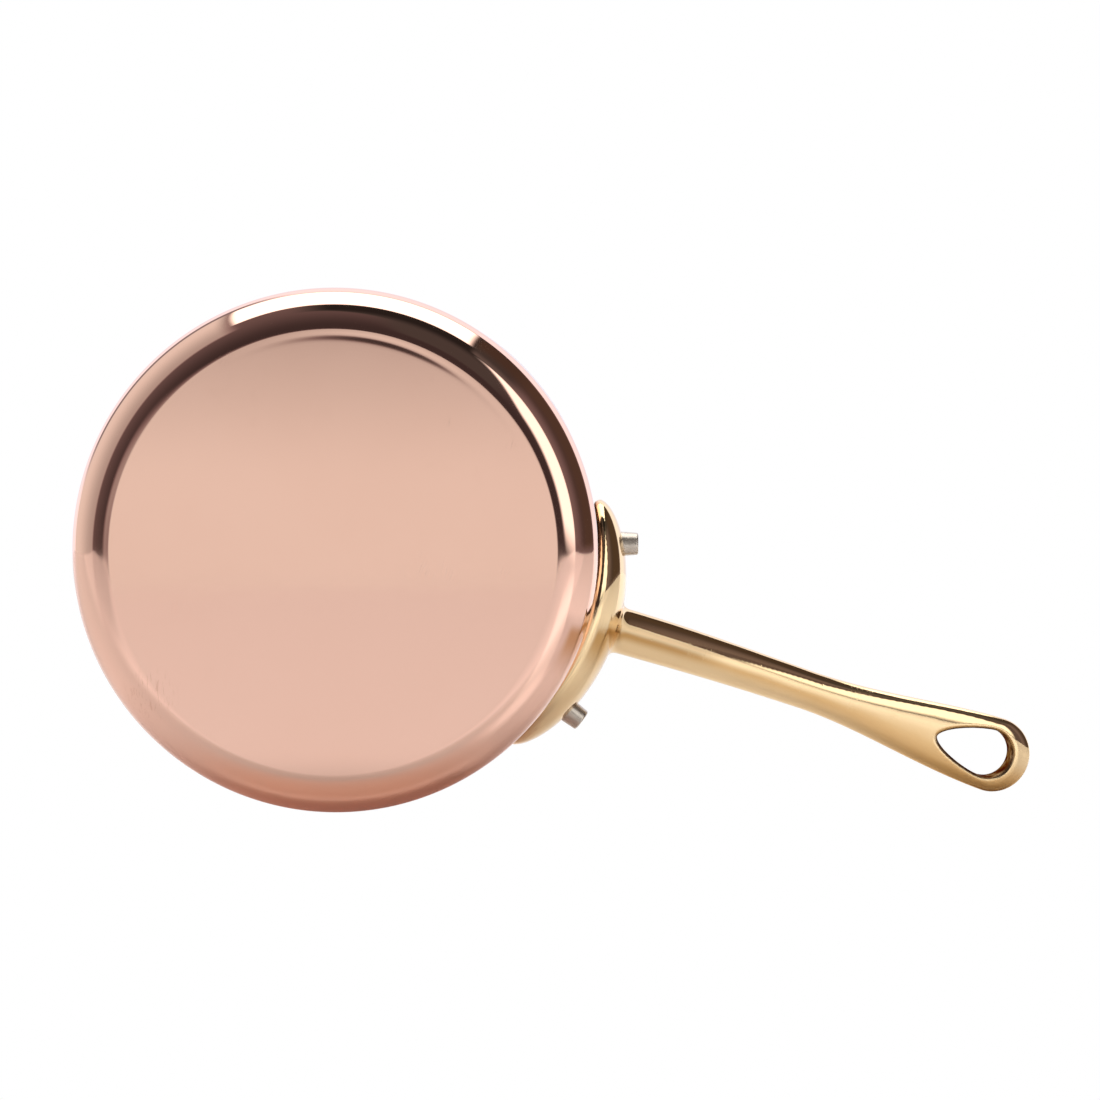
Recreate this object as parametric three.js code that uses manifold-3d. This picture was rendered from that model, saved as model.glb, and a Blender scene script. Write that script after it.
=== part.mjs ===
// Small copper saucepan with a cast brass handle held on by two stainless rivets.
// Millimetres, +Z up. The origin is the centre of the flat underside of the base,
// the pan opens towards +Z and the handle points along +X.
// The pan wall is two bonded metals, modelled as two nested shells.

import * as THREE from 'three';
import { mergeVertices } from 'three/addons/utils/BufferGeometryUtils.js';
import Module from 'manifold-3d';

const wasm = await Module();
wasm.setup();

// ---- driving dimensions --------------------------------------------------

// Pan body
const panRadius = 60;
const panHeight = 68;
const cornerRadius = 9.4;
const copperThickness = 1.6;
const bondGap = 0.04;
const liningThickness = 0.36;
const rimRound = 0.35;
const roundSegments = 96;

// Handle flange, a dome-faced plate curved around the wall
const flangeCentreZ = 46;
const flangeHalfHeight = 13;
const flangeHalfAngle = THREE.MathUtils.degToRad(30.3);
const flangeTurn = THREE.MathUtils.degToRad(2.0);
const flangeGap = 0.15;
const flangeEdge = 2.0;
const flangeCrown = 8.6;
const flangeOutlinePower = 2.4;
const flangeCrownPower = 2.1;
const flangeCrownSlope = 0.2;

// Handle bar, described by its centre line in the XZ plane
const barStart = new THREE.Vector2(64.5, 46);
const barRootSlope = THREE.MathUtils.degToRad(34);
const barEndSlope = THREE.MathUtils.degToRad(9);
const eyeCentre = new THREE.Vector2(168.8, 77);
const eyeOuterRadius = 9.4;
const waistHalfWidth = 4.7;
const rootExtraWidth = 0.85;
const rootSideways = -0.9;
const eyeSideways = 0.6;
const rootHalfThickness = 3.9;
const eyeHalfThickness = 2.8;

// Teardrop hanging eye, measured along the bar from the eye's centre
const holeRadius = 6.0;
const holeLead = 13.9;
const holeShift = -1.9;

// Rivets, set by hand, so one tail stands a little prouder than the other
const rivetAngle = THREE.MathUtils.degToRad(18.4);
const rivetRadius = 2.9;
const rivetHoleRadius = 3.05;
const rivetEndLeft = 71.1;
const rivetEndRight = 70.2;
const rivetHeadRadius = 5.6;
const rivetHeadHeight = 2.1;
const rivetSegments = 32;

const innerRadius = panRadius - copperThickness - bondGap - liningThickness;

// ---- helpers ---------------------------------------------------------------

// Turn a closed three.js geometry into a manifold solid.
function toSolid(geometry) {
  const bare = geometry.clone();
  bare.deleteAttribute('normal');
  bare.deleteAttribute('uv');
  const merged = mergeVertices(bare, 1e-4);
  const mesh = new wasm.Mesh({
    numProp: 3,
    vertProperties: new Float32Array(merged.attributes.position.array),
    triVerts: new Uint32Array(merged.index.array),
  });
  return new wasm.Manifold(mesh);
}

// Turn a manifold solid back into a three.js geometry with flat-shaded normals.
function toGeometry(solid) {
  const mesh = solid.getMesh();
  const geometry = new THREE.BufferGeometry();
  geometry.setAttribute('position', new THREE.BufferAttribute(new Float32Array(mesh.vertProperties), 3));
  geometry.setIndex(new THREE.BufferAttribute(new Uint32Array(mesh.triVerts), 1));
  geometry.computeVertexNormals();
  return geometry;
}

// A quarter arc as profile points, from one angle to another, in degrees.
function arcPoints(centreR, centreZ, radius, fromDeg, toDeg, steps) {
  const points = [];
  for (let i = 0; i <= steps; i += 1) {
    const angle = THREE.MathUtils.degToRad(fromDeg + ((toDeg - fromDeg) * i) / steps);
    points.push(new THREE.Vector2(centreR + radius * Math.cos(angle), centreZ + radius * Math.sin(angle)));
  }
  return points;
}

// Spin a profile of (radius, height) points about +Z.
function spin(points, segments) {
  const geometry = new THREE.LatheGeometry(points, segments);
  geometry.rotateX(Math.PI / 2);
  return geometry;
}

// A shell with a flat base, a rounded corner, a straight wall and a softened rim.
function panShell(outerR, baseZ, thickness, corner) {
  const innerCorner = corner - thickness;
  const cornerR = outerR - corner;
  const cornerZ = baseZ + corner;
  const wallInner = outerR - thickness;
  const round = Math.min(rimRound, thickness * 0.4);
  const points = [
    new THREE.Vector2(0, baseZ),
    ...arcPoints(cornerR, cornerZ, corner, -90, 0, 12),
    ...arcPoints(outerR - round, panHeight - round, round, 0, 90, 3),
    ...arcPoints(wallInner + round, panHeight - round, round, 90, 180, 3),
    ...arcPoints(cornerR, cornerZ, innerCorner, 0, -90, 12),
    new THREE.Vector2(0, baseZ + thickness),
  ];
  return spin(points, roundSegments);
}

// Place something built along +Z so that it points outwards through the wall at an angle.
function pointOutwards(geometry, angle) {
  geometry.rotateY(Math.PI / 2);
  geometry.rotateZ(angle);
  geometry.translate(0, 0, flangeCentreZ);
  return geometry;
}

// A round cutter through the wall and the flange at one rivet's place.
function rivetCutter(angle) {
  const length = 30;
  const cutter = new THREE.CylinderGeometry(rivetHoleRadius, rivetHoleRadius, length, rivetSegments);
  cutter.rotateX(Math.PI / 2);
  cutter.translate(0, 0, panRadius + 4);
  return pointOutwards(cutter, angle);
}

// A closed surface made from rings of equal length, with a fan over each end.
function loft(rings, startPoint, endPoint) {
  const count = rings[0].length;
  const positions = [];
  const index = [];
  for (const ring of rings) {
    for (const point of ring) {
      positions.push(point.x, point.y, point.z);
    }
  }
  for (let r = 0; r + 1 < rings.length; r += 1) {
    for (let i = 0; i < count; i += 1) {
      const a = r * count + i;
      const b = r * count + ((i + 1) % count);
      index.push(a, b, b + count, a, b + count, a + count);
    }
  }
  const first = positions.length / 3;
  positions.push(startPoint.x, startPoint.y, startPoint.z);
  const last = first + 1;
  positions.push(endPoint.x, endPoint.y, endPoint.z);
  const top = (rings.length - 1) * count;
  for (let i = 0; i < count; i += 1) {
    const next = (i + 1) % count;
    index.push(first, next, i);
    index.push(last, top + i, top + next);
  }
  const geometry = new THREE.BufferGeometry();
  geometry.setAttribute('position', new THREE.Float32BufferAttribute(positions, 3));
  geometry.setIndex(index);
  return geometry;
}

// ---- pan body and lining -----------------------------------------------------

const rivetAngles = [rivetAngle, -rivetAngle];
const cutters = rivetAngles.map((angle) => toSolid(rivetCutter(angle)));

function drilled(geometry) {
  let solid = toSolid(geometry);
  for (const cutter of cutters) {
    solid = solid.subtract(cutter);
  }
  return toGeometry(solid);
}

const copperBody = drilled(panShell(panRadius, 0, copperThickness, cornerRadius));
const liningStart = copperThickness + bondGap;
const steelLining = drilled(
  panShell(panRadius - liningStart, liningStart, liningThickness, cornerRadius - liningStart),
);

// ---- flange ----------------------------------------------------------------

// Height of the domed face, 0 at its edge and 1 at the top, found by halving. fill is 0 at the
// outline and 1 at the centre. The face leaves its edge at a slant and then curves over.
function crownRise(fill) {
  let low = 0;
  let high = 1;
  for (let i = 0; i < 40; i += 1) {
    const rise = (low + high) / 2;
    const value = flangeCrownSlope * rise + (1 - flangeCrownSlope) * rise ** flangeCrownPower;
    if (value < fill) {
      low = rise;
    } else {
      high = rise;
    }
  }
  return (low + high) / 2;
}

// Point on the flange face. reach runs from 0 at the centre to 1 at the outline.
function flangePoint(reach, turn, outer) {
  const c = Math.cos(turn);
  const s = Math.sin(turn);
  const power = 2 / flangeOutlinePower;
  const across = Math.sign(c) * Math.abs(c) ** power * reach;
  const up = Math.sign(s) * Math.abs(s) ** power * reach;
  const crown = flangeEdge + (flangeCrown - flangeEdge) * crownRise(1 - reach ** 2);
  const r = panRadius + (outer ? crown : flangeGap);
  const azimuth = flangeTurn + across * flangeHalfAngle;
  return new THREE.Vector3(
    r * Math.cos(azimuth),
    r * Math.sin(azimuth),
    flangeCentreZ + up * flangeHalfHeight,
  );
}

// Rings run out over the domed face, round the edge, then back in over the hollow side.
function flangeGeometry() {
  const count = 64;
  const outerReach = [0.12, 0.25, 0.38, 0.5, 0.61, 0.71, 0.8, 0.87, 0.93, 0.97, 1];
  const innerReach = [1, 0.85, 0.7, 0.55, 0.4, 0.25, 0.12];
  const ring = (reach, outer) => {
    const points = [];
    for (let i = 0; i < count; i += 1) {
      points.push(flangePoint(reach, (i / count) * Math.PI * 2, outer));
    }
    return points;
  };
  const rings = [
    ...outerReach.map((reach) => ring(reach, true)),
    ...innerReach.map((reach) => ring(reach, false)),
  ];
  return loft(rings.reverse(), flangePoint(0, 0, false), flangePoint(0, 0, true));
}

// ---- handle bar --------------------------------------------------------------

const barLine = new THREE.CubicBezierCurve(
  barStart,
  new THREE.Vector2(
    barStart.x + 36 * Math.cos(barRootSlope),
    barStart.y + 36 * Math.sin(barRootSlope),
  ),
  new THREE.Vector2(
    eyeCentre.x - 40 * Math.cos(barEndSlope),
    eyeCentre.y - 40 * Math.sin(barEndSlope),
  ),
  eyeCentre,
);

// Sideways position of the bar's centre line. The cast bar leaves the flange slightly to one
// side of its middle and ends slightly to the other.
function sideways(x) {
  const fromRoot = 1 - THREE.MathUtils.smoothstep(x, 80, 150);
  return rootSideways * fromRoot + eyeSideways * THREE.MathUtils.smoothstep(x, 115, 172);
}

// Half the bar's width at a distance x from the pan's axis.
function halfWidth(x) {
  const rootFlare = rootExtraWidth * Math.exp(-(((x - 66) / 40) ** 2)) + 0.9 * Math.exp(-(x - 67) / 1.6);
  const eyeFlare = THREE.MathUtils.smoothstep(x, 118, 172);
  return waistHalfWidth + Math.min(rootFlare, 3) + (eyeOuterRadius - waistHalfWidth) * eyeFlare;
}

// Half the bar's thickness at a distance x from the pan's axis.
function halfThickness(x) {
  const rootFlare = 0.9 * Math.exp(-(x - 67) / 1.8);
  const thinning = THREE.MathUtils.smoothstep(x, 70, 160);
  return rootHalfThickness + Math.min(rootFlare, 1.2) - (rootHalfThickness - eyeHalfThickness) * thinning;
}

// One rounded section of the bar, set square to its centre line.
function barSection(centre, slope, w, h, squareness) {
  const count = 40;
  const points = [];
  for (let i = 0; i < count; i += 1) {
    const turn = (i / count) * Math.PI * 2;
    const c = Math.cos(turn);
    const s = Math.sin(turn);
    const side = Math.sign(c) * Math.abs(c) ** (2 / squareness) * w;
    const up = Math.sign(s) * Math.abs(s) ** (2 / squareness) * h;
    points.push(new THREE.Vector3(
      centre.x - up * Math.sin(slope),
      side + sideways(centre.x),
      centre.y + up * Math.cos(slope),
    ));
  }
  return points;
}

function barGeometry() {
  const rings = [];
  const steps = 46;
  for (let i = 0; i <= steps; i += 1) {
    const t = i / steps;
    const centre = barLine.getPointAt(t);
    const tangent = barLine.getTangentAt(t);
    const slope = Math.atan2(tangent.y, tangent.x);
    const squareness = 2.4 + 0.8 * THREE.MathUtils.smoothstep(centre.x, 110, 165);
    rings.push(barSection(centre, slope, halfWidth(centre.x), halfThickness(centre.x), squareness));
  }
  // The rounded end of the eye carries on straight from the end of the centre line.
  const endSteps = 10;
  const endWidth = halfWidth(eyeCentre.x);
  for (let i = 1; i <= endSteps; i += 1) {
    const turn = (i / (endSteps + 0.35)) * (Math.PI / 2);
    const q = Math.sin(turn);
    const centre = new THREE.Vector2(
      eyeCentre.x + eyeOuterRadius * q * Math.cos(barEndSlope),
      eyeCentre.y + eyeOuterRadius * q * Math.sin(barEndSlope),
    );
    const h = eyeHalfThickness * (1 - q ** 9) ** (1 / 2);
    rings.push(barSection(centre, barEndSlope, endWidth * Math.cos(turn), h, 3.2));
  }
  const start = new THREE.Vector3(barStart.x, sideways(barStart.x), barStart.y);
  const end = new THREE.Vector3(
    eyeCentre.x + eyeOuterRadius * Math.cos(barEndSlope),
    eyeSideways,
    eyeCentre.y + eyeOuterRadius * Math.sin(barEndSlope),
  );
  return loft(rings, start, end);
}

// Teardrop prism standing square to the bar at the eye.
function eyeCutter() {
  const shape = new THREE.Shape();
  const narrow = holeShift - holeLead;
  shape.moveTo(narrow, 0);
  shape.bezierCurveTo(narrow, -2, narrow + 8, -holeRadius, holeShift, -holeRadius);
  shape.absarc(holeShift, 0, holeRadius, -Math.PI / 2, Math.PI / 2, false);
  shape.bezierCurveTo(narrow + 8, holeRadius, narrow, 2, narrow, 0);
  const cutter = new THREE.ExtrudeGeometry(shape, { depth: 20, bevelEnabled: false, curveSegments: 18 });
  cutter.translate(0, 0, -10);
  cutter.rotateY(-barEndSlope);
  cutter.translate(eyeCentre.x, sideways(eyeCentre.x), eyeCentre.y);
  return cutter;
}

let handleSolid = toSolid(flangeGeometry()).add(toSolid(barGeometry()));
for (const cutter of cutters) {
  handleSolid = handleSolid.subtract(cutter);
}
handleSolid = handleSolid.subtract(toSolid(eyeCutter()));
const brassHandle = toGeometry(handleSolid);

// ---- rivets ------------------------------------------------------------------

// The head's flat underside sits just clear of the curved lining.
const headSeat = Math.sqrt(innerRadius ** 2 - rivetHeadRadius ** 2) - 0.12;

function rivetGeometry(angle, end) {
  const domeSphere = (rivetHeadRadius ** 2 + rivetHeadHeight ** 2) / (2 * rivetHeadHeight);
  const domeCentre = headSeat - rivetHeadHeight + domeSphere;
  const points = [];
  const domeSteps = 8;
  const halfArc = Math.asin(rivetHeadRadius / domeSphere);
  for (let i = 0; i <= domeSteps; i += 1) {
    const a = (halfArc * i) / domeSteps;
    points.push(new THREE.Vector2(domeSphere * Math.sin(a), domeCentre - domeSphere * Math.cos(a)));
  }
  points.push(new THREE.Vector2(rivetRadius, headSeat));
  points.push(new THREE.Vector2(rivetRadius, panRadius + 6.2));
  points.push(new THREE.Vector2(rivetRadius - 0.25, end - 0.35));
  points.push(new THREE.Vector2(rivetRadius - 0.6, end));
  points.push(new THREE.Vector2(0, end));
  return pointOutwards(spin(points, rivetSegments), angle);
}

// ---- assembly ----------------------------------------------------------------

const part = new THREE.Group();
part.name = 'copper_saucepan';

function addMesh(name, geometry, colour, roughness) {
  const material = new THREE.MeshStandardMaterial({ color: colour, roughness, metalness: 1 });
  const mesh = new THREE.Mesh(geometry, material);
  mesh.name = name;
  part.add(mesh);
}

addMesh('copper_body', copperBody, 0xd99a80, 0.12);
addMesh('steel_lining', steelLining, 0xc4c5c7, 0.35);
addMesh('brass_handle', brassHandle, 0xd9b66a, 0.15);
addMesh('rivet_left', rivetGeometry(rivetAngles[0], rivetEndLeft), 0xa9a49d, 0.3);
addMesh('rivet_right', rivetGeometry(rivetAngles[1], rivetEndRight), 0xa9a49d, 0.3);

export default part;
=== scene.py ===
"""Copper saucepan with a brass handle: fine meshes, finishes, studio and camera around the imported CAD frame.

Lengths in the shape formulas are in millimetres and are turned into metres when a mesh is made.
The row frame stands the pan upright: +Z out of the mouth, +X along the handle.
The picture shows the pan lying on its side, so the camera looks up at the base.
"""

import math

import bpy
import numpy as np
from mathutils import Matrix, Vector


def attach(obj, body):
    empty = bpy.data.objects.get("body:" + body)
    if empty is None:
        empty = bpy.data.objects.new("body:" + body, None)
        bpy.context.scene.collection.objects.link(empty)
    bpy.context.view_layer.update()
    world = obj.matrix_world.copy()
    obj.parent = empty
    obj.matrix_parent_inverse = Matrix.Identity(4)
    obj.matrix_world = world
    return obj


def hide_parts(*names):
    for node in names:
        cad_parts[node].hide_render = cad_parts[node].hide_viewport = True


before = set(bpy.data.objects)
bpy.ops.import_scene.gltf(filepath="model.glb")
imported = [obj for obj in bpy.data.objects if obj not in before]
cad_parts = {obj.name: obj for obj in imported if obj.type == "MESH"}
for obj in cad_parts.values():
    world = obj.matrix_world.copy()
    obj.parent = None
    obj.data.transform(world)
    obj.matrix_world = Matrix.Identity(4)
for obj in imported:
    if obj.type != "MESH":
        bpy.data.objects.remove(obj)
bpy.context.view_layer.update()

MM = 0.001

# ---- dimensions shared with the CAD part, in millimetres ---------------------------------

PAN_R = 60.0
PAN_H = 68.0
CORNER_R = 9.4
COPPER_T = 1.6
BOND = 0.04
LINING_T = 0.36
RIM_ROUND = 0.35
FLANGE_Z = 46.0
FLANGE_HALF_H = 13.0
FLANGE_HALF_ANGLE = math.radians(30.3)
FLANGE_TURN = math.radians(2.0)
FLANGE_GAP = 0.15
FLANGE_BACK_BLEND = 1.8
FLANGE_EDGE = 2.0
FLANGE_CROWN = 8.6
FLANGE_POWER = 2.4
CROWN_POWER = 2.1
CROWN_SLOPE = 0.2
BAR_START = (64.5, 46.0)
BAR_ROOT_SLOPE = math.radians(34)
BAR_ROOT_PULL = 36.0
BAR_END_SLOPE = math.radians(9)
BAR_END_PULL = 40.0
BAR_ROOT_BLEND = 2.0
BEND_ROOT = -0.9
BEND_EYE = 0.6
EYE = (168.8, 77.0)
EYE_R = 9.4
EYE_TRIM = 0.045
EYE_EDGE_BLEND = 1.1
WAIST_HALF_W = 4.7
ROOT_EXTRA_W = 0.85
ROOT_HALF_T = 3.9
EYE_HALF_T = 2.8
HOLE_R = 6.0
HOLE_LEAD = 13.9
HOLE_SHIFT = -1.9
RIVET_ANGLE = math.radians(18.4)
RIVET_R = 2.9
RIVET_END_LEFT = 71.1
RIVET_END_RIGHT = 70.2
RIVET_HEAD_R = 5.6
RIVET_HEAD_H = 2.1
RIVET_TAPER = 0.25
RIVET_END_ROUND = 0.5
INNER_R = PAN_R - COPPER_T - BOND - LINING_T
SPIN_STEPS = 256
CASTING_STEP = 0.4


# ---- small helpers -----------------------------------------------------------------------

def smoothstep(x, low, high):
    t = np.clip((x - low) / (high - low), 0, 1)
    return t * t * (3 - 2 * t)


def make_object(name, vertices, faces):
    """A smooth-shaded mesh object from points in millimetres."""
    mesh = bpy.data.meshes.new(name)
    mesh.from_pydata([tuple(v) for v in np.asarray(vertices) * MM], [], faces)
    mesh.validate()
    mesh.update()
    for polygon in mesh.polygons:
        polygon.use_smooth = True
    piece = bpy.data.objects.new(name, mesh)
    bpy.context.scene.collection.objects.link(piece)
    return piece


def arc(centre_r, centre_z, radius, start, end, steps):
    """Points of an arc in the (radius, height) plane, angles in degrees."""
    angles = np.radians(np.linspace(start, end, steps + 1))
    return [(centre_r + radius * math.cos(a), centre_z + radius * math.sin(a)) for a in angles]


def line(start, end, steps):
    """Points after the first one up to and including the last one."""
    start, end = np.array(start), np.array(end)
    return [tuple(start + (end - start) * i / steps) for i in range(1, steps + 1)]


def lathe(name, profile, segments):
    """Spins a profile that starts and ends on the axis about +Z."""
    rings = profile[1:-1]
    angles = [2 * math.pi * i / segments for i in range(segments)]
    vertices = [(r * math.cos(a), r * math.sin(a), z) for r, z in rings for a in angles]
    first = len(vertices)
    vertices.append((0, 0, profile[0][1]))
    vertices.append((0, 0, profile[-1][1]))
    faces = []
    for k in range(len(rings) - 1):
        for i in range(segments):
            j = (i + 1) % segments
            a, b = k * segments, (k + 1) * segments
            faces.append((a + i, a + j, b + j, b + i))
    top = (len(rings) - 1) * segments
    for i in range(segments):
        j = (i + 1) % segments
        faces.append((first, j, i))
        faces.append((first + 1, top + i, top + j))
    return make_object(name, vertices, faces)


# ---- pan and lining ----------------------------------------------------------------------

def shell_profile(outer_r, base_z, thickness, corner):
    """Flat base, rounded corner, straight wall and a softened rim, then back down inside.

    The base has more points near its edge, where press_base_edge moves some of them.
    """
    corner_r, corner_z = outer_r - corner, base_z + corner
    inner_r = outer_r - thickness
    soft = min(RIM_ROUND, thickness * 0.4)
    points = [(0, base_z)]
    dense_r = corner_r - 5.0
    points += line((0, base_z), (dense_r, base_z), 10)
    points += line((dense_r, base_z), (corner_r - 0.2, base_z), 24)
    points += arc(corner_r, corner_z, corner, -90, 0, 28)
    points += line((outer_r, corner_z), (outer_r, PAN_H - soft), 16)
    points += arc(outer_r - soft, PAN_H - soft, soft, 0, 90, 6)[1:]
    points += arc(inner_r + soft, PAN_H - soft, soft, 90, 180, 6)
    points += line((inner_r, PAN_H - soft), (inner_r, corner_z), 16)
    points += arc(corner_r, corner_z, corner - thickness, 0, -90, 24)[1:]
    points += line((corner_r, base_z + thickness), (0, base_z + thickness), 10)
    return points


def press_base_edge(pan):
    """A faint hollow, hundredths of a millimetre deep, just inside the corner on the -Y side of the base."""
    depth = 0.015
    ring_r = PAN_R - CORNER_R - 1.5
    ring_half_w = 0.8
    middle = math.radians(-92)
    half_length = math.radians(24)
    for vertex in pan.data.vertices:
        x, y, z = vertex.co / MM
        radius = math.hypot(x, y)
        if z < 0.001 and radius > ring_r - 9:
            ring = math.exp(-((radius - ring_r) / ring_half_w) ** 2)
            turn = math.atan2(y, x) - middle
            vertex.co.z += depth * ring * math.exp(-(turn / half_length) ** 2) * MM


# ---- brass casting: one smooth surface through a signed field ------------------------------

def bezier(t):
    """The handle's centre line in the XZ plane."""
    p0, p3 = np.array(BAR_START), np.array(EYE)
    p1 = p0 + BAR_ROOT_PULL * np.array([math.cos(BAR_ROOT_SLOPE), math.sin(BAR_ROOT_SLOPE)])
    p2 = p3 - BAR_END_PULL * np.array([math.cos(BAR_END_SLOPE), math.sin(BAR_END_SLOPE)])
    t = np.asarray(t)[:, None]
    return (1 - t) ** 3 * p0 + 3 * (1 - t) ** 2 * t * p1 + 3 * (1 - t) * t * t * p2 + t ** 3 * p3


def centre_line_table():
    """Arc length from the eye, position and direction along the centre line, and the length at the root.

    The line is carried on straight past both of its ends.
    """
    points = bezier(np.linspace(0, 1, 600))
    end_direction = np.array([math.cos(BAR_END_SLOPE), math.sin(BAR_END_SLOPE)])
    beyond = points[-1] + np.linspace(0.25, 14, 56)[:, None] * end_direction
    start_direction = np.array([math.cos(BAR_ROOT_SLOPE), math.sin(BAR_ROOT_SLOPE)])
    before = points[0] - np.linspace(10, 0.25, 40)[:, None] * start_direction
    points = np.vstack([before, points, beyond])
    steps = np.hypot(*np.diff(points, axis=0).T)
    length = np.concatenate([[0], np.cumsum(steps)])
    eye_length = length[-1 - len(beyond)]
    root_length = length[len(before)]
    direction = np.gradient(points, length, axis=0)
    direction /= np.hypot(*direction.T)[:, None]
    return length - eye_length, points, direction, root_length - eye_length


LINE_S, LINE_P, LINE_D, ROOT_S = centre_line_table()


def along_bar(x, z):
    """Distance along the centre line from the eye's centre, height off it, and the line's own x there."""
    s = np.interp(x, LINE_P[:, 0], LINE_S)
    for _ in range(4):
        dx = x - np.interp(s, LINE_S, LINE_P[:, 0])
        dz = z - np.interp(s, LINE_S, LINE_P[:, 1])
        tx = np.interp(s, LINE_S, LINE_D[:, 0])
        tz = np.interp(s, LINE_S, LINE_D[:, 1])
        s = s + dx * tx + dz * tz
    return s, -dx * tz + dz * tx, np.interp(s, LINE_S, LINE_P[:, 0])


def bend(x):
    """Sideways position of the bar's centre line, on the -Y side at the flange and the +Y side at the eye."""
    return BEND_EYE * smoothstep(x, 115, 172) + BEND_ROOT * (1 - smoothstep(x, 80, 150))


def hole_field(s, y):
    """Distance outside the teardrop opening: round at the end, drawn to a point towards the pan."""
    t = s - HOLE_SHIFT
    px, qy = 1.34, 1.6
    u = np.maximum(-t / HOLE_LEAD, 1e-4)
    v = np.maximum(np.abs(y) / HOLE_R, 1e-4)
    drop = u ** px + v ** qy - 1
    drop = drop / np.hypot(px * u ** (px - 1) / HOLE_LEAD, qy * v ** (qy - 1) / HOLE_R)
    return np.where(t > 0, np.hypot(t, y) - HOLE_R, drop)


def bar_field(x, y, z):
    """Roughly the distance outside the bar and its eye, negative inside."""
    s, height, x_line = along_bar(x, z)
    y = y - bend(x_line)
    half_w = WAIST_HALF_W + ROOT_EXTRA_W * np.exp(-((x_line - 66) / 40) ** 2)
    half_w += (EYE_R - WAIST_HALF_W) * smoothstep(x_line, 118, 172)
    half_w = np.where(s > 0, EYE_R - EYE_TRIM, half_w)
    half_t = ROOT_HALF_T - (ROOT_HALF_T - EYE_HALF_T) * smoothstep(x_line, 70, 160)
    power = 2.4 + 0.8 * smoothstep(x_line, 110, 165)
    across = np.where(s > 0, np.hypot(s, y), np.abs(y)) / half_w
    up = np.abs(height) / half_t
    across = np.maximum(across, 1e-4)
    up = np.maximum(up, 1e-4)
    total = across ** power + up ** power
    g = total ** (1 / power)
    slope_a = g ** (1 - power) * across ** (power - 1) / half_w
    slope_u = g ** (1 - power) * up ** (power - 1) / half_t
    bar = (g - 1) / np.hypot(slope_a, slope_u)
    bar = np.maximum(bar, ROOT_S - s)
    return smooth_max(bar, -hole_field(s, y), EYE_EDGE_BLEND)


def smooth_min(a, b, k):
    h = np.clip(0.5 + 0.5 * (b - a) / k, 0, 1)
    return b + (a - b) * h - k * h * (1 - h)


def smooth_max(a, b, k):
    return -smooth_min(-a, -b, k)


def flange_field(x, y, z):
    """Roughly the distance outside the dome-faced flange, negative inside."""
    r = np.hypot(x, y)
    across = np.maximum(np.abs(np.arctan2(y, x) - FLANGE_TURN) / FLANGE_HALF_ANGLE, 1e-4)
    up = np.maximum(np.abs(z - FLANGE_Z) / FLANGE_HALF_H, 1e-4)
    p = FLANGE_POWER
    reach = (across ** p + up ** p) ** (1 / p)
    crown = FLANGE_CROWN - FLANGE_EDGE
    rise = np.maximum((r - PAN_R - FLANGE_EDGE) / crown, 1e-4)
    total = reach ** 2 + CROWN_SLOPE * rise + (1 - CROWN_SLOPE) * rise ** CROWN_POWER - 1
    slope_across = 2 * reach * (across / reach) ** (p - 1) / (FLANGE_HALF_ANGLE * PAN_R)
    slope_up = 2 * reach * (up / reach) ** (p - 1) / FLANGE_HALF_H
    slope_r = (CROWN_SLOPE + (1 - CROWN_SLOPE) * CROWN_POWER * rise ** (CROWN_POWER - 1)) / crown
    dome = total / np.sqrt(slope_across ** 2 + slope_up ** 2 + slope_r ** 2)
    return smooth_max(dome, PAN_R + FLANGE_GAP - r, FLANGE_BACK_BLEND)


def unpolished_and_shaded_depth(p):
    """1 on the wall of the eye and the flange's edge against the pan: unpolished faces, darkened in the brass
    partly as unpolished casting and partly as painted shade in the hollow and the joint.
    """
    x, y, z = p[:, 0], p[:, 1], p[:, 2]
    s, _, x_line = along_bar(x, z)
    eye_wall = 1 - smoothstep(np.abs(hole_field(s, y - bend(x_line))), 0.25, 0.8)
    eye_wall = np.where(x > 140, eye_wall, 0)
    back = 1 - smoothstep(np.hypot(x, y) - PAN_R - FLANGE_GAP, 0.4, 0.85)
    return np.maximum(eye_wall, back)


def casting_field(p):
    x, y, z = p[:, 0], p[:, 1], p[:, 2]
    return smooth_min(flange_field(x, y, z), bar_field(x, y, z), BAR_ROOT_BLEND)


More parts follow.
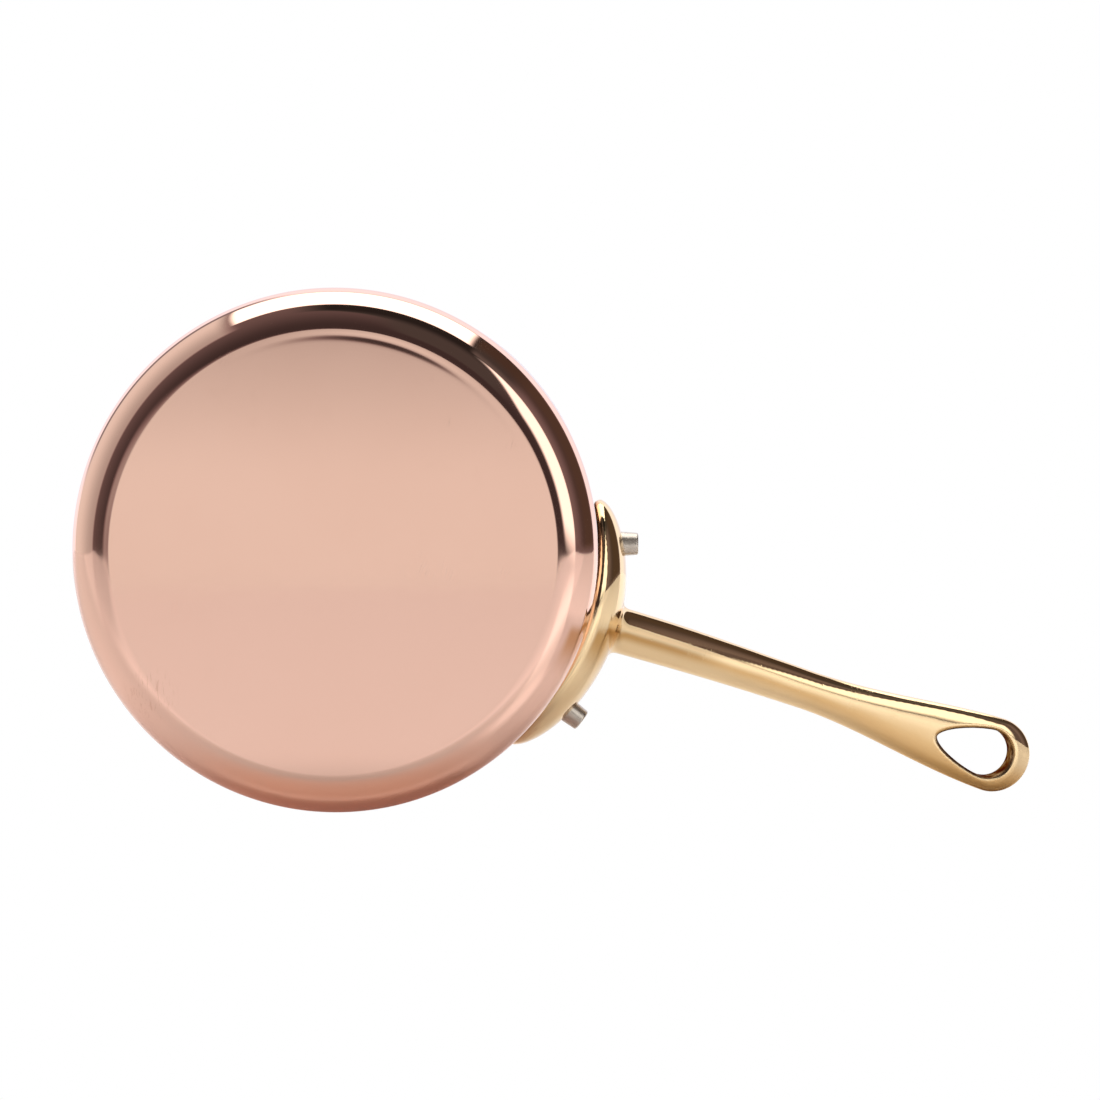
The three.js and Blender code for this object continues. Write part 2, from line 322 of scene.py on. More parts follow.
def surface_of(field, low, high, step, block=4):
    """Quads on the zero surface of a field: one vertex in each grid cell the surface crosses."""
    low = np.array(low, float)
    blocks = np.ceil((np.array(high) - low) / (step * block)).astype(int) + 1
    coarse_axes = [low[k] + step * block * (np.arange(blocks[k]) + 0.5) - step / 2 for k in range(3)]
    coarse = np.stack(np.meshgrid(*coarse_axes, indexing="ij"), -1).reshape(-1, 3)
    rough = field(coarse).reshape(blocks)
    value = rough
    for k in range(3):
        value = np.repeat(value, block, axis=k)
    near = np.abs(value) < step * block * 1.9
    points = np.argwhere(near)
    value = value.copy()
    value[near] = field(low + points * step)
    inside = value < 0
    corner = [inside[i:inside.shape[0] - 1 + i, j:inside.shape[1] - 1 + j, k:inside.shape[2] - 1 + k]
              for i in (0, 1) for j in (0, 1) for k in (0, 1)]
    count = sum(c.astype(np.int8) for c in corner)
    cells = np.argwhere((count > 0) & (count < 8))
    index = np.full(count.shape, -1, np.int64)
    index[tuple(cells.T)] = np.arange(len(cells))
    offsets = [np.array((i, j, k)) for i in (0, 1) for j in (0, 1) for k in (0, 1)]
    at = [value[tuple((cells + o).T)] for o in offsets]
    total = np.zeros((len(cells), 3))
    hits = np.zeros(len(cells))
    for a in range(8):
        for b in range(a + 1, 8):
            if np.abs(offsets[a] - offsets[b]).sum() != 1:
                continue
            crossed = (at[a] < 0) != (at[b] < 0)
            t = np.where(crossed, at[a] / np.where(crossed, at[a] - at[b], 1), 0)
            where = offsets[a] + t[:, None] * (offsets[b] - offsets[a])
            total += where * crossed[:, None]
            hits += crossed
    vertices = low + step * (cells + total / hits[:, None])
    faces = []
    for axis in range(3):
        u, v = (axis + 1) % 3, (axis + 2) % 3
        nearer = np.take(inside, range(inside.shape[axis] - 1), axis)
        farther = np.take(inside, range(1, inside.shape[axis]), axis)
        edge = np.argwhere(nearer != farther)
        edge = edge[(edge[:, u] > 0) & (edge[:, v] > 0)]
        outward = nearer[tuple(edge.T)]
        du, dv = np.zeros(3, int), np.zeros(3, int)
        du[u], dv[v] = 1, 1
        ring = [index[tuple((edge - o).T)] for o in (du + dv, dv, 0 * du, du)]
        quads = np.stack(ring, 1)
        quads[~outward] = quads[~outward][:, ::-1]
        faces.append(quads)
    faces = np.vstack(faces)
    # settle every vertex exactly on the surface
    small = 0.02
    for _ in range(3):
        f = field(vertices)
        slope = np.stack([(field(vertices + small * e) - field(vertices - small * e)) / (2 * small)
                          for e in np.eye(3)], 1)
        push = f / np.maximum((slope ** 2).sum(1), 0.2)
        vertices = vertices - np.clip(push, -step, step)[:, None] * slope
    return vertices, faces.tolist()


# ---- rivets ------------------------------------------------------------------------------

def rivet(name, angle, end):
    """Domed head inside the pan, shank through the wall, tapered stub outside."""
    seat = math.sqrt(INNER_R ** 2 - RIVET_HEAD_R ** 2) - 0.12
    ball = (RIVET_HEAD_R ** 2 + RIVET_HEAD_H ** 2) / (2 * RIVET_HEAD_H)
    half = math.degrees(math.asin((RIVET_HEAD_R - 0.25) / ball))
    points = [(0, seat - RIVET_HEAD_H)]
    points += arc(0, seat - RIVET_HEAD_H + ball, ball, -90 + half / 12, -90 + half, 11)
    points += [(RIVET_HEAD_R - 0.08, seat - 0.2), (RIVET_HEAD_R, seat - 0.08), (RIVET_HEAD_R - 0.06, seat)]
    points += [(RIVET_R + 0.1, seat), (RIVET_R, seat + 0.1), (RIVET_R, PAN_R + 6.2)]
    flat_r = RIVET_R - RIVET_TAPER - RIVET_END_ROUND
    points += line((RIVET_R, PAN_R + 6.2), (RIVET_R - RIVET_TAPER, end - RIVET_END_ROUND), 6)
    points += arc(flat_r, end - RIVET_END_ROUND, RIVET_END_ROUND, 5, 90, 6)
    points += line((flat_r, end), (0, end), 4)
    piece = lathe(name, points, 64)
    place = Matrix.Translation((0, 0, FLANGE_Z * MM)) @ Matrix.Rotation(angle, 4, "Z")
    piece.data.transform(place @ Matrix.Rotation(math.pi / 2, 4, "Y"))
    return piece


# ---- node graphs ---------------------------------------------------------------------------

class Graph:
    """Short names for building a node tree."""

    def __init__(self, tree):
        self.tree = tree
        tree.nodes.clear()

    def node(self, kind, inputs=None, **settings):
        made = self.tree.nodes.new(kind)
        for key, value in settings.items():
            setattr(made, key, value)
        for key, value in (inputs or {}).items():
            self.put(made.inputs[key], value)
        return made

    def put(self, socket, value):
        if isinstance(value, bpy.types.NodeSocket):
            self.tree.links.new(value, socket)
        else:
            socket.default_value = value

    def math(self, operation, a, b=0.0, clamp=False):
        made = self.node("ShaderNodeMath", operation=operation, use_clamp=clamp)
        self.put(made.inputs[0], a)
        self.put(made.inputs[1], b)
        return made.outputs[0]

    def add(self, a, b):
        return self.math("ADD", a, b)

    def sub(self, a, b):
        return self.math("SUBTRACT", a, b)

    def mul(self, a, b):
        return self.math("MULTIPLY", a, b)

    def ramp(self, x, low, high, start=0.0, end=1.0):
        """Smooth change from start to end as x goes from low to high."""
        made = self.node("ShaderNodeMapRange", interpolation_type="SMOOTHSTEP")
        names = ("Value", "From Min", "From Max", "To Min", "To Max")
        for key, value in zip(names, (x, low, high, start, end)):
            self.put(made.inputs[key], value)
        return made.outputs[0]

    def mix(self, factor, a, b):
        """Number a where the factor is 0, number b where it is 1."""
        return self.add(a, self.mul(factor, self.sub(b, a)))

    def colour(self, factor, a, b, blend="MIX"):
        made = self.node("ShaderNodeMix", data_type="RGBA", blend_type=blend)
        self.put(made.inputs[0], factor)
        self.put(made.inputs[6], a)
        self.put(made.inputs[7], b)
        return made.outputs[2]

    def noise(self, vector, scale, detail=2.0, roughness=0.5, distortion=0.0):
        made = self.node("ShaderNodeTexNoise", {"Scale": scale, "Detail": detail, "Roughness": roughness,
                                                "Distortion": distortion})
        self.put(made.inputs["Vector"], vector)
        return made.outputs["Fac"]

    def stretch(self, vector, x, y, z):
        made = self.node("ShaderNodeMapping")
        self.put(made.inputs["Vector"], vector)
        made.inputs["Scale"].default_value = (x, y, z)
        return made.outputs[0]

    def dot(self, vector, direction):
        made = self.node("ShaderNodeVectorMath", {0: vector, 1: tuple(direction)}, operation="DOT_PRODUCT")
        return made.outputs["Value"]

    def band(self, x, low, high, soft):
        """1 between low and high, 0 outside, with soft edges."""
        rise = self.ramp(x, low - soft, low + soft)
        fall = self.ramp(x, high - soft, high + soft, 1.0, 0.0)
        return self.mul(rise, fall)

    def blend(self, factor, first, second):
        """First shader where the factor is 0, second shader where it is 1."""
        made = self.node("ShaderNodeMixShader", {0: factor})
        self.tree.links.new(first, made.inputs[1])
        self.tree.links.new(second, made.inputs[2])
        return made.outputs[0]

    def upper_side_only(self, shader):
        """Makes the back of a flat sheet invisible."""
        clear = self.node("ShaderNodeBsdfTransparent").outputs[0]
        return self.blend(self.node("ShaderNodeNewGeometry").outputs["Backfacing"], shader, clear)

    def finish(self, shader, kind="ShaderNodeOutputMaterial"):
        self.tree.links.new(shader, self.node(kind).inputs["Surface"])

    def bump(self, height, strength, distance, normal=None):
        made = self.node("ShaderNodeBump", {"Strength": strength, "Distance": distance, "Height": height})
        if normal is not None:
            self.put(made.inputs["Normal"], normal)
        return made.outputs[0]


def new_material(name):
    material = bpy.data.materials.new(name)
    material.use_nodes = True
    return material, Graph(material.node_tree)


def object_coordinates(g):
    return g.node("ShaderNodeTexCoord").outputs["Object"]


def turned_coordinates(g):
    """The place, then its radius, angle and height about the pan's axis together, then the radius alone."""
    place = object_coordinates(g)
    parts = g.node("ShaderNodeSeparateXYZ", {"Vector": place}).outputs
    radius = g.math("SQRT", g.add(g.mul(parts[0], parts[0]), g.mul(parts[1], parts[1])))
    angle = g.math("ARCTAN2", parts[1], parts[0])
    joined = g.node("ShaderNodeCombineXYZ", {"X": radius, "Y": angle, "Z": parts[2]}).outputs[0]
    return place, joined, radius


def finish_material(g, colour, roughness, normal, edge=None):
    shader = g.node("ShaderNodeBsdfPrincipled", {"Metallic": 1.0})
    if edge is not None:
        g.put(shader.inputs["Specular Tint"], edge)
    g.put(shader.inputs["Base Color"], colour)
    g.put(shader.inputs["Roughness"], roughness)
    g.put(shader.inputs["Normal"], normal)
    g.finish(shader.outputs[0])


def scratches(g, place, scale, turn, width, keep):
    """Thin, broken, nearly straight lines in one direction. 1 on a scratch, 0 elsewhere."""
    rotated = g.node("ShaderNodeMapping", {"Vector": place})
    rotated.inputs["Rotation"].default_value = turn
    rotated.inputs["Scale"].default_value = (scale, scale * 0.04, scale)
    ridge = g.noise(rotated.outputs[0], 1.0, 3.0, 0.6, 0.3)
    lines = g.ramp(g.math("ABSOLUTE", g.sub(ridge, 0.5)), 0.0, width, 1.0, 0.0)
    patches = g.ramp(g.noise(place, scale * 0.08, 2.0), keep, keep + 0.08)
    return g.mul(lines, patches)


def copper_material():
    material, g = new_material("polished_copper")
    place, turned, radius = turned_coordinates(g)
    cloud = g.noise(place, 18.0, 4.0, 0.55)
    warm = g.colour(g.ramp(cloud, 0.35, 0.7), (0.93, 0.605, 0.492, 1), (0.920, 0.594, 0.480, 1))
    fingers = g.ramp(g.noise(place, 95.0, 5.0, 0.65, 0.6), 0.60, 0.74)
    tint = g.colour(g.mul(fingers, 0.05), warm, (0.80, 0.49, 0.37, 1))
    fine = scratches(g, place, 900.0, (0.3, 0.2, 0.9), 0.010, 0.66)
    cross = scratches(g, place, 700.0, (0.1, 0.4, -0.6), 0.008, 0.69)
    marks = g.math("MAXIMUM", fine, cross)
    # a small scuffed spot on the +Y side of the base's edge, on the half away from the handle
    spot_centre = (-0.0291, 0.0440, 0.0005)
    spot = g.node("ShaderNodeVectorMath", {0: place, 1: spot_centre}, operation="DISTANCE")
    spot = g.ramp(spot.outputs["Value"], 0.002, 0.008, 1.0, 0.0)
    scuff = g.node("ShaderNodeMapping", {"Vector": place}, vector_type="TEXTURE")
    scuff.inputs["Rotation"].default_value = (0, 0, -0.33)
    scuff.inputs["Scale"].default_value = (0.00050, 0.0036, 0.0007)
    scuff = g.ramp(g.noise(scuff.outputs[0], 1.0, 3.0, 0.6, 0.4), 0.54, 0.62)
    scuff = g.mul(scuff, spot)
    tint = g.colour(g.mul(scuff, 0.30), tint, (0.62, 0.30, 0.20, 1))
    marks = g.math("MAXIMUM", marks, scuff)
    rough = g.add(0.045, g.mul(g.ramp(cloud, 0.3, 0.8), 0.02))
    rough = g.add(rough, g.add(g.mul(fingers, 0.02), g.mul(marks, 0.06)))
    spun = g.noise(g.stretch(turned, 2600.0, 0.8, 2600.0), 1.0, 2.0, 0.5)
    wall = g.ramp(radius, 0.040, 0.052)
    height = g.add(g.mul(g.mul(spun, wall), 0.04), g.mul(marks, -0.10))
    normal = g.bump(height, 0.03, 0.0004)
    finish_material(g, tint, rough, normal)
    return material


def lining_material():
    material, g = new_material("brushed_lining")
    place, turned, _ = turned_coordinates(g)
    brushed = g.noise(g.stretch(turned, 2200.0, 3.0, 2200.0), 1.0, 4.0, 0.7)
    broad = g.noise(g.stretch(turned, 300.0, 0.9, 300.0), 1.0, 3.0, 0.6)
    cloud = g.noise(place, 30.0, 4.0, 0.6)
    grey = g.colour(g.ramp(cloud, 0.3, 0.7), (0.64, 0.635, 0.62, 1), (0.58, 0.575, 0.565, 1))
    grey = g.colour(g.mul(g.ramp(broad, 0.4, 0.7), 0.25), grey, (0.50, 0.495, 0.485, 1))
    rough = g.add(0.24, g.mul(brushed, 0.14))
    normal = g.bump(g.add(brushed, g.mul(broad, 0.5)), 0.14, 0.0006)
    finish_material(g, grey, rough, normal)
    return material


def brass_material():
    material, g = new_material("polished_brass")
    place = object_coordinates(g)
    cloud = g.noise(place, 40.0, 4.0, 0.55)
    gold = g.colour(g.ramp(cloud, 0.3, 0.7), (0.895, 0.685, 0.415, 1), (0.875, 0.655, 0.38, 1))
    tarnish = g.ramp(g.noise(place, 240.0, 5.0, 0.7), 0.60, 0.75)
    gold = g.colour(g.mul(tarnish, 0.16), gold, (0.62, 0.42, 0.20, 1))
    pits = g.node("ShaderNodeTexVoronoi", {"Scale": 520.0}, feature="F1")
    g.put(pits.inputs["Vector"], place)
    pit = g.mul(g.ramp(pits.outputs["Distance"], 0.05, 0.14, 1.0, 0.0), g.ramp(cloud, 0.52, 0.60))
    marks = scratches(g, place, 800.0, (0.2, 0.5, 1.2), 0.016, 0.55)
    # painted shade, partly unpolished casting: the eye's wall and the flange's edge against the pan turn
    # near-black brown and rougher
    deep = g.node("ShaderNodeAttribute", attribute_name="unpolished_and_shaded").outputs["Fac"]
    deep = g.mul(deep, g.ramp(g.noise(place, 400.0, 3.0), 0.3, 0.6, 0.7, 1.0))
    gold = g.colour(deep, gold, (0.13, 0.062, 0.025, 1))
    rough = g.add(0.05, g.mul(g.ramp(cloud, 0.3, 0.8), 0.02))
    rough = g.add(rough, g.mul(deep, 0.30))
    rough = g.add(rough, g.add(g.mul(tarnish, 0.05), g.mul(marks, 0.08)))
    hand = g.noise(place, 70.0, 2.0, 0.5)
    ripple = g.noise(g.stretch(place, 260.0, 900.0, 260.0), 1.0, 2.0)
    height = g.add(g.mul(pit, -0.8), g.add(g.mul(marks, -0.2), g.mul(ripple, 0.05)))
    normal = g.bump(height, 0.06, 0.0004)
    normal = g.bump(hand, 0.10, 0.0010, normal)
    # the painted shade also darkens the edge tint there
    edge = g.colour(deep, (1, 1, 1, 1), (0.30, 0.17, 0.09, 1))
    finish_material(g, gold, rough, normal, edge)
    return material


def rivet_material():
    material, g = new_material("plain_steel")
    place = object_coordinates(g)
    cloud = g.noise(place, 220.0, 3.0, 0.5)
    grey = g.colour(g.ramp(cloud, 0.3, 0.7), (0.64, 0.585, 0.52, 1), (0.56, 0.51, 0.45, 1))
    turned = g.noise(g.stretch(place, 900.0, 900.0, 2400.0), 1.0, 2.0, 0.5)
    rough = g.add(0.30, g.mul(turned, 0.12))
    normal = g.bump(g.add(turned, cloud), 0.03, 0.0004)
    finish_material(g, grey, rough, normal)
    return material


# ---- build the pieces ------------------------------------------------------------------------

bond = COPPER_T + BOND
copper = lathe("pan_copper", shell_profile(PAN_R, 0, COPPER_T, CORNER_R), SPIN_STEPS)
press_base_edge(copper)
lining = lathe("pan_lining", shell_profile(PAN_R - bond, bond, LINING_T, CORNER_R - bond), SPIN_STEPS)
points, quads = surface_of(casting_field, (49, -36, 30), (183, 36, 92), CASTING_STEP)
handle = make_object("handle_casting", points, quads)
# the brass reads this to paint shade on the eye's wall and the flange's edge, partly as unpolished casting
unpolished_and_shaded = handle.data.attributes.new("unpolished_and_shaded", "FLOAT", "POINT")
unpolished_and_shaded.data.foreach_set("value", unpolished_and_shaded_depth(points))
rivet_left = rivet("rivet_left_stud", RIVET_ANGLE, RIVET_END_LEFT)
rivet_right = rivet("rivet_right_stud", -RIVET_ANGLE, RIVET_END_RIGHT)

steel = rivet_material()
pieces = [
    (copper, "copper_body", "copper", copper_material()),
    (lining, "steel_lining", "lining", lining_material()),
    (handle, "brass_handle", "brass", brass_material()),
    (rivet_left, "rivet_left", "rivet", steel),
    (rivet_right, "rivet_right", "rivet", steel),
]
for piece, node, slot, material in pieces:
    piece.data.materials.append(material)
    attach(piece, "root")
    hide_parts(node)


# ---- camera ----------------------------------------------------------------------------------

# The camera's own axes are right, down and away. The pan's axis points away from it, tipped a
# little, and the handle hangs below the picture's horizontal by the roll angle.
CAMERA_DISTANCE = 744.6
FIELD_OF_VIEW = math.radians(18.92)
TIP_RIGHT = math.radians(-0.1)
TIP_UP = math.radians(3.1)
ROLL = math.radians(18.66)
BASE_CENTRE = (-49.0, 0.7)

away = Vector((math.sin(TIP_RIGHT), -math.sin(TIP_UP), 0))
away.z = math.sqrt(1 - away.x ** 2 - away.y ** 2)
level = (Vector((1, 0, 0)) - away * away.x).normalized()
down = away.cross(level)
row_x = level * math.cos(ROLL) + down * math.sin(ROLL)
row_y = away.cross(row_x)
to_row = Matrix((row_x, row_y, away))
centre = Vector((BASE_CENTRE[0], BASE_CENTRE[1], CAMERA_DISTANCE))

camera_data = bpy.data.cameras.new("camera")
camera_data.sensor_width = 36.0
camera_data.lens = 18.0 / math.tan(FIELD_OF_VIEW / 2)
camera_data.clip_start = 0.01
camera_data.clip_end = 50.0
camera = bpy.data.objects.new("camera", camera_data)
bpy.context.scene.collection.objects.link(camera)
right_row = to_row @ Vector((1, 0, 0))
up_row = to_row @ Vector((0, -1, 0))
back_row = to_row @ Vector((0, 0, -1))
turn = Matrix((right_row, up_row, back_row)).transposed()
camera.matrix_world = Matrix.Translation((to_row @ -centre) * MM) @ turn.to_4x4()
bpy.context.scene.camera = camera

# Directions of the lying pan's world, in the row frame: to the picture's right, up off the
# table, and out of the base towards the camera.
side = to_row @ level
up = to_row @ -down
out = Vector((0, 0, -1))


# ---- floors ----------------------------------------------------------------------------------

def flat_square(name, corners, material):
    mesh = bpy.data.meshes.new(name)
    mesh.from_pydata([tuple(c) for c in corners], [], [(0, 1, 2, 3)])
    mesh.update()
    piece = bpy.data.objects.new(name, mesh)
    bpy.context.scene.collection.objects.link(piece)
    piece.data.materials.append(material)
    return piece


def table_material():
    """Glossy white table top, seen only on its upper side, glowing with painted light and carrying painted
    bounce light and a painted shadow.
    """
    material, g = new_material("white_table")
    place = object_coordinates(g)
    reach = g.dot(place, out)
    across = g.dot(place, side)
    # light bounced off the copper warms the table next to the pan
    close = g.ramp(reach, 0.0, 0.05, 1.0, 0.0)
    near = g.mul(close, g.ramp(g.math("ABSOLUTE", across), 0.012, 0.062, 1.0, 0.0))
    white = g.colour(near, (0.90, 0.885, 0.875, 1), (0.97, 0.72, 0.58, 1))
    # painted bounce light: gold off the brass tints the table under the handle close to the pan
    painted_brass_bounce = g.mul(close, g.mul(g.ramp(across, 0.100, 0.155), g.ramp(across, 0.162, 0.188, 1.0, 0.0)))
    white = g.colour(painted_brass_bounce, white, (0.67, 0.51, 0.32, 1))
    top = g.node("ShaderNodeBsdfPrincipled", {"Roughness": 0.20})
    g.put(top.inputs["Base Color"], white)
    g.put(top.inputs["Emission Color"], (1, 1, 1, 1))
    # painted light: the table glows, not at all next to the pan and behind it, more dimly on the left, and
    # kept up beyond the handle's end
    lit = g.ramp(reach, 0.04, 0.17, 0.0, 0.37)
    lit = g.mul(lit, g.ramp(g.add(across, g.mul(reach, 0.14)), -0.16, -0.07, 0.4, 1.0))
    # painted shadow of the handle: under the bar the table's glow drops to 0.15 of itself
    painted_bar_shadow = g.mul(g.ramp(across, 0.09, 0.14), g.ramp(reach, 0.06, 0.14, 1.0, 0.0))
    lit = g.mul(lit, g.mix(painted_bar_shadow, 1.0, 0.15))
    lit = g.math("MAXIMUM", lit, g.ramp(across, 0.165, 0.22, 0.0, 0.27))
    # painted light: a little more glow close to the pan near the handle's root
    root = g.mul(g.ramp(across, 0.060, 0.075), g.ramp(across, 0.095, 0.125, 1.0, 0.0))
    lit = g.add(lit, g.mul(g.mul(close, root), 0.04))
    # the warm painted bounce light next to the pan glows a little too
    lit = g.add(lit, g.mul(near, 0.07))
    # a painted pool of light: a soft brighter patch that shows low on the right of the pan's corner
    painted_light_pool = g.mul(g.ramp(across, 0.035, 0.060), g.ramp(across, 0.085, 0.120, 1.0, 0.0))
    painted_light_pool = g.mul(painted_light_pool, g.mul(g.ramp(reach, 0.018, 0.036), g.ramp(reach, 0.040, 0.075, 1.0, 0.0)))
    lit = g.add(lit, g.mul(painted_light_pool, 0.20))
    g.put(top.inputs["Emission Strength"], lit)
    g.finish(g.upper_side_only(top.outputs[0]))
    return material


def floor_material():
    """Pale matt floor that fades to the white backdrop, seen only from above."""
    material, g = new_material("pale_floor")
    place = object_coordinates(g)
    reach = g.node("ShaderNodeVectorMath", {0: place}, operation="LENGTH").outputs["Value"]
    fade = g.ramp(reach, 0.35, 1.6)
    matt = g.node("ShaderNodeBsdfDiffuse", {"Color": (0.82, 0.82, 0.82, 1)})
    white = g.node("ShaderNodeEmission", {"Color": (1, 1, 1, 1), "Strength": 1.0})
    g.finish(g.upper_side_only(g.blend(fade, matt.outputs[0], white.outputs[0])))
    return material


# The table top that the lying pan rests on passes just under its wall and the handle's end.
# TABLE_DROP is in millimetres below the wall, and the table's and floor's sizes are in metres.
TABLE_DROP = 4.8
TABLE_FRONT = 0.87
TABLE_REAR = 0.9
TABLE_HALF = 1.1
touch = -up * (PAN_R + TABLE_DROP) * MM
table = flat_square("table_top", [
    touch - side * TABLE_HALF + out * TABLE_FRONT,
    touch - side * TABLE_HALF - out * TABLE_REAR,
    touch + side * TABLE_HALF - out * TABLE_REAR,
    touch + side * TABLE_HALF + out * TABLE_FRONT,
], table_material())
if table.data.polygons[0].normal.dot(up) < 0:
    table.data.flip_normals()
table.visible_camera = False
table.visible_diffuse = False
table.visible_shadow = False

# The floor under the upright pan is for the views from the sides and above.
FLOOR_HALF = 4
FLOOR_Z = -0.0002
floor_corners = [(x * FLOOR_HALF, y * FLOOR_HALF, FLOOR_Z) for x, y in ((-1, -1), (1, -1), (1, 1), (-1, 1))]
floor = flat_square("floor", floor_corners, floor_material())
floor.visible_glossy = False
floor.visible_diffuse = False
floor.visible_shadow = False


# ---- studio: one world shader laid out around the lying pan ------------------------------------

# Each light or dark panel is a range of two angles in degrees: its polar angle from straight out
# of the base, and its swing round that direction from the picture's right, upwards. The strip
# light's hub and distance are in millimetres.
STRIP_HUB = side * 54 + up * 25
STRIP_DISTANCE = 600.0
SOFTBOX_POLAR = (72.0, 125.0)
SOFTBOX_SWING = (58.0, 118.0)
SOFTBOX_STRENGTH = 2.3
FLAG_POLAR = (55.0, 122.0)
FLAG_SWING = (-2.0, 56.5)
LEFT_PANEL_POLAR = (54.0, 138.0)
LEFT_PANEL_SWING = 120.0
GAP_POLAR = (124.0, 135.0)
GAP_SWING = (110.0, 166.0)
TABLE_STRENGTH = 0.84
PANEL_EDGE = 1.2
LAMP_COLOUR = (1.0, 0.985, 0.95, 1)


def strip_light():
    """Curved panel light on the right, part of a ball around the corner's right side.

    It is seen only in reflections. Being nearer than the world, it shifts between pan and handle.
    """
    polars = np.radians(np.linspace(14, 58, 14))
    swings = np.radians(np.linspace(-24, 66, 26))
    points = []
    for polar in polars:
        for swing in swings:
            flat = side * math.cos(swing) + up * math.sin(swing)
            points.append(STRIP_HUB + (flat * math.sin(polar) + out * math.cos(polar)) * STRIP_DISTANCE)
    count = len(swings)
    faces = []
    for i in range(len(polars) - 1):
        for j in range(count - 1):
            a = i * count + j
            faces.append((a, a + 1, a + count + 1, a + count))
    panel = make_object("strip_light", [tuple(p) for p in points], faces)
    material, g = new_material("strip_light")
    place = object_coordinates(g)
    hub = tuple(STRIP_HUB * MM)
    offset = g.node("ShaderNodeVectorMath", {0: place, 1: hub}, operation="SUBTRACT").outputs[0]
    ray = g.node("ShaderNodeVectorMath", {0: offset}, operation="NORMALIZE").outputs[0]
    polar, swing, _, _ = studio_angles(g, ray)
    # it narrows to a point at its upper end
    start = g.add(g.ramp(swing, 10.0, 45.0, 18.2, 21.3), g.ramp(swing, 36.0, 58.0, 0.0, 26.0))
    mask = g.mul(g.ramp(g.sub(polar, start), 0.0, 9.0), g.ramp(polar, 51.0, 55.0, 1.0, 0.0))
    mask = g.mul(mask, g.mul(g.ramp(swing, -14.0, 0.0), g.ramp(swing, 52.0, 60.0, 1.0, 0.0)))
    light = g.node("ShaderNodeEmission", {"Color": LAMP_COLOUR, "Strength": 1.7})
    clear = g.node("ShaderNodeBsdfTransparent")
    g.finish(g.blend(mask, clear.outputs[0], light.outputs[0]))
    panel.data.materials.append(material)
    panel.visible_camera = False
    panel.visible_diffuse = False
    panel.visible_shadow = False


def studio_angles(g, ray):
    """Angle from straight out of the base, turn round it from the picture's right, and parts right and up."""
    right_part, up_part, out_part = (g.dot(ray, direction) for direction in (side, up, out))
    polar = g.math("ARCCOSINE", g.math("MINIMUM", g.math("MAXIMUM", out_part, -1.0), 1.0))
    polar = g.mul(polar, 180 / math.pi)
    swing = g.mul(g.math("ARCTAN2", up_part, right_part), 180 / math.pi)
    return polar, swing, right_part, up_part


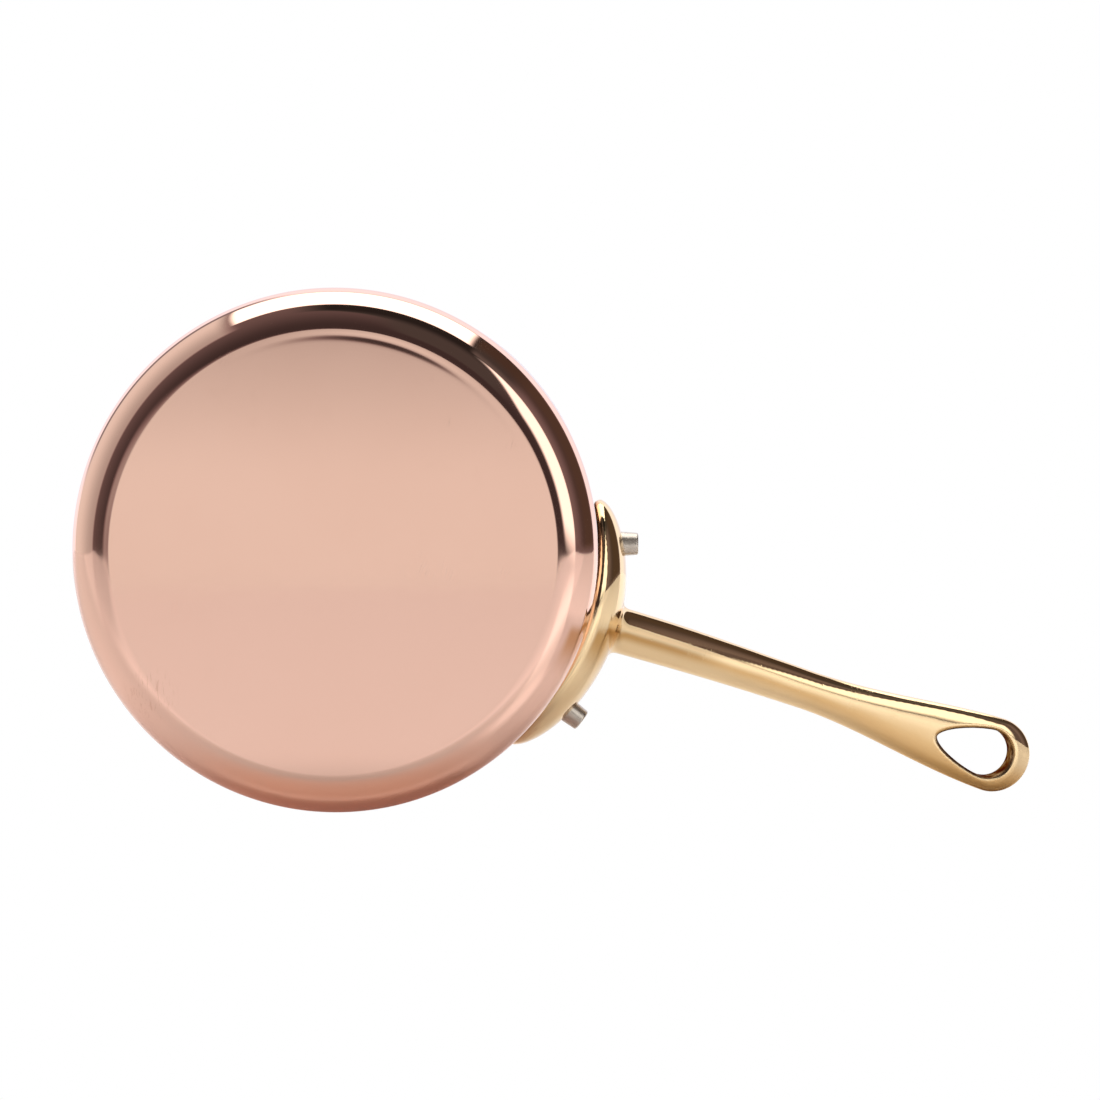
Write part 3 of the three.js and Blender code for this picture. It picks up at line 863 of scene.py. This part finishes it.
def studio_world():
    world = bpy.data.worlds.new("studio")
    world.use_nodes = True
    bpy.context.scene.world = world
    g = Graph(world.node_tree)
    ray = g.node("ShaderNodeTexCoord").outputs["Generated"]
    polar, swing, right_part, up_part = studio_angles(g, ray)

    # dark studio above the horizon, a little lighter away from the camera
    level_out = g.ramp(polar, 8.0, 72.0, 0.05, 0.16)
    # near black high on the right
    far_swing = g.ramp(polar, 44.0, 54.0, 76.0, 94.0)
    deep = g.mul(g.ramp(swing, 38.0, 50.0), g.ramp(g.sub(swing, far_swing), 0.0, 12.0, 1.0, 0.0))
    deep = g.mul(deep, g.ramp(polar, 12.0, 18.0))
    level_out = g.mix(deep, level_out, g.ramp(polar, 40.0, 58.0, 0.075, 0.022))
    # and lighter near the camera on the far left
    fill = g.mul(g.ramp(g.math("ABSOLUTE", swing), 146.0, 180.0), g.ramp(polar, 18.0, 27.0, 1.0, 0.0))
    level_out = g.mix(fill, level_out, 0.38)
    # the lit wall around the camera, which fills the flat base's reflection
    glow = g.sub(0.86, g.ramp(up_part, -0.034, 0.010, 0.0, 0.22))
    glow_mask = g.ramp(up_part, 0.005, 0.026, 1.0, 0.0)
    glow_mask = g.mul(glow_mask, g.ramp(right_part, -0.20, -0.14))
    glow_mask = g.mul(glow_mask, g.ramp(right_part, 0.03, 0.08, 1.0, 0.0))
    glow_mask = g.mul(glow_mask, g.ramp(polar, 20.0, 26.0, 1.0, 0.0))
    value = g.mix(glow_mask, level_out, glow)
    # pale panel on the left
    panel = g.ramp(polar, 54.0, 112.0, 0.48, 0.86)
    left = g.ramp(g.math("ABSOLUTE", swing), LEFT_PANEL_SWING - 3.0, LEFT_PANEL_SWING + 3.0)
    panel_mask = g.mul(g.band(polar, *LEFT_PANEL_POLAR, 3.0), left)
    value = g.mix(panel_mask, value, panel)
    # big softbox overhead
    box_mask = g.mul(g.band(polar, *SOFTBOX_POLAR, PANEL_EDGE), g.band(swing, *SOFTBOX_SWING, PANEL_EDGE))
    value = g.mix(box_mask, value, SOFTBOX_STRENGTH)
    # dark flag on the right, darker towards its upper end
    flag_mask = g.mul(g.band(polar, *FLAG_POLAR, PANEL_EDGE), g.band(swing, *FLAG_SWING, PANEL_EDGE))
    flag_high = g.ramp(polar, 55.0, 72.0, 0.13, 0.062)
    flag = g.mix(g.ramp(swing, 38.0, 46.0), g.ramp(polar, 55.0, 85.0, 0.20, 0.075), flag_high)
    value = g.mix(flag_mask, value, flag)
    # white backdrop behind the pan, with a thin dark gap before it
    gap = g.mul(g.band(polar, *GAP_POLAR, 2.0), g.band(swing, *GAP_SWING, 8.0))
    back = g.ramp(polar, 140.0, 155.0, 1.2, 1.0)
    value = g.mix(g.ramp(polar, 125.5, 127.5), value, back)
    value = g.mix(gap, value, 0.26)
    # white table level below the horizon
    value = g.mix(g.ramp(up_part, -0.058, -0.066), value, TABLE_STRENGTH)

    # warm dark tones, nearly neutral light ones and a slightly cool backdrop
    dark_tone = g.colour(deep, (1.0, 0.74, 0.76, 1), (1.0, 0.88, 0.84, 1))
    dark_tone = g.colour(g.mul(flag_mask, g.ramp(polar, 66.0, 98.0)), dark_tone, (1.15, 0.76, 0.56, 1))
    tone = g.colour(g.ramp(value, 0.12, 0.6), dark_tone, LAMP_COLOUR)
    tone = g.colour(g.ramp(polar, 124.0, 128.0), tone, (1.0, 0.975, 1.06, 1))
    seen = g.node("ShaderNodeBackground", {"Color": (1, 1, 1, 1), "Strength": 1.0})
    lit = g.node("ShaderNodeBackground", {"Color": tone, "Strength": value})
    is_camera = g.node("ShaderNodeLightPath").outputs["Is Camera Ray"]
    g.finish(g.blend(is_camera, lit.outputs[0], seen.outputs[0]), "ShaderNodeOutputWorld")
    world.cycles.sampling_method = "MANUAL"
    world.cycles.sample_map_resolution = 1024


strip_light()
studio_world()
bpy.context.scene.view_settings.view_transform = "Standard"
